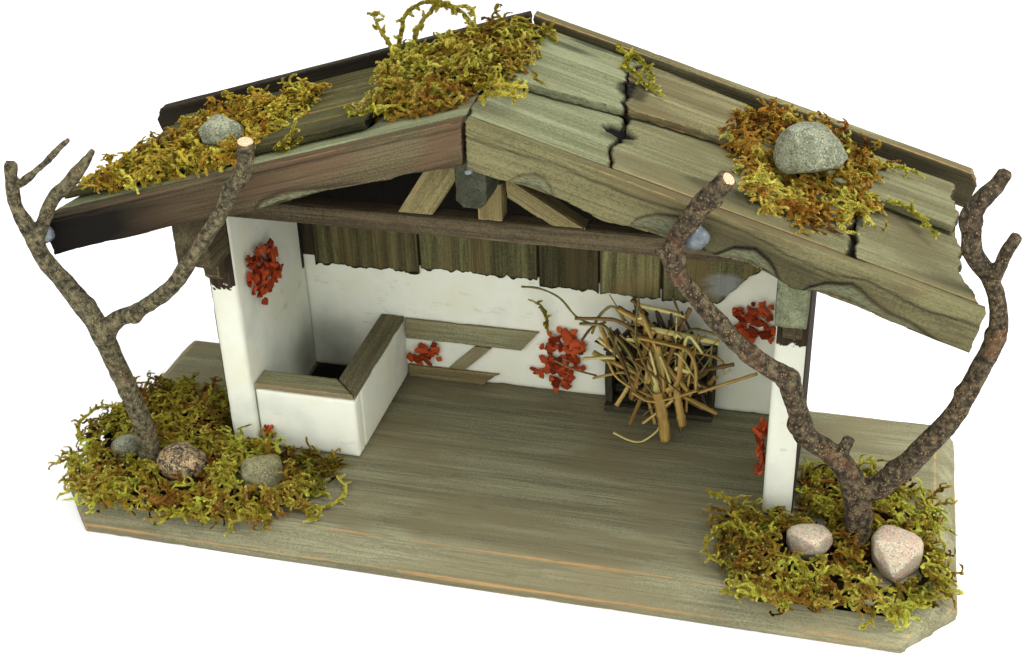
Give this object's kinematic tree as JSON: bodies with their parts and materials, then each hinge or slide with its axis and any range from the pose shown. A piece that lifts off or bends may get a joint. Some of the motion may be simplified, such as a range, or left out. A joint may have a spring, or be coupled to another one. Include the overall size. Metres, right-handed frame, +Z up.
{
  "type": "wooden nativity stable",
  "caption": "Open-fronted wooden display stable with plastered walls, a shingled board roof, a low pen, a hay rack, twig trees, moss and pebbles on one bevelled base board.",
  "frame": {"origin": "centre of the base board's underside", "axes": "+X to the right along the base board seen from the open front, +Y to the back wall, +Z up"},
  "size_m": [0.4822, 0.1858, 0.2548],
  "materials": {
    "base_wood": "matt weathered",
    "plaster": "matt white plaster on wood",
    "plank_wood": "matt stained",
    "beam_wood": "matt stained",
    "truss_wood": "matt weathered",
    "grey_wood": "matt grey stained",
    "deck_wood": "matt dark stained",
    "fascia_wood": "matt carved and singed",
    "rim_wood": "matt weathered",
    "roof_wood": "matt weathered",
    "cap_wood": "matt stained",
    "strip_wood": "matt stained",
    "terracotta": "matt fired clay",
    "rack_wood": "matt dark stained",
    "straw": "dry straw",
    "bark": "rough bark",
    "moss": "dried moss",
    "grey_stone": "matt stone",
    "beige_stone": "matt stone",
    "glue": "cloudy hot glue"
  },
  "bodies": {
    "root": {"base_board": "base_wood", "left_wall": "plaster", "right_wall": "plaster", "back_wall": "plaster", "back_plank_1": "plank_wood", "back_plank_2": "plank_wood", "back_plank_3": "plank_wood", "back_plank_4": "plank_wood", "back_plank_5": "plank_wood", "tie_beam": "beam_wood", "king_post": "truss_wood", "strut_left": "truss_wood", "strut_right": "truss_wood", "ridge_purlin": "grey_wood", "corbel_upper_left": "grey_wood", "corbel_upper_right": "grey_wood", "corbel_lower_left": "grey_wood", "corbel_lower_right": "grey_wood", "roof_deck_left": "deck_wood", "roof_deck_right": "deck_wood", "front_fascia_left": "fascia_wood", "front_fascia_right": "fascia_wood", "back_rim_left": "rim_wood", "back_rim_right": "rim_wood", "roof_board_left_1": "roof_wood", "roof_board_left_2": "roof_wood", "roof_board_left_3": "roof_wood", "roof_board_left_4": "roof_wood", "roof_board_right_1": "roof_wood", "roof_board_right_2": "roof_wood", "roof_board_right_3": "roof_wood", "roof_board_right_4": "roof_wood", "roof_board_right_5": "roof_wood", "roof_board_right_6": "roof_wood", "pen_front": "plaster", "pen_side": "plaster", "pen_cap_front": "cap_wood", "pen_cap_side": "cap_wood", "strip_upper": "strip_wood", "strip_lower": "strip_wood", "strip_slanted": "strip_wood", "chips_left_wall": "terracotta", "chips_back_wall": "terracotta", "chips_right_wall": "terracotta", "rack_board": "rack_wood", "rack_ends": "rack_wood", "rack_slats": "rack_wood", "straw": "straw", "tree_left": "bark", "tree_right": "bark", "moss_base_left": "moss", "moss_base_right": "moss", "moss_roof_left": "moss", "moss_ridge": "moss", "moss_roof_right": "moss", "pebbles_left": "grey_stone", "pebbles_right": "beige_stone", "pebbles_roof": "grey_stone", "glue_beads": "glue"}
  },
  "joints": []
}
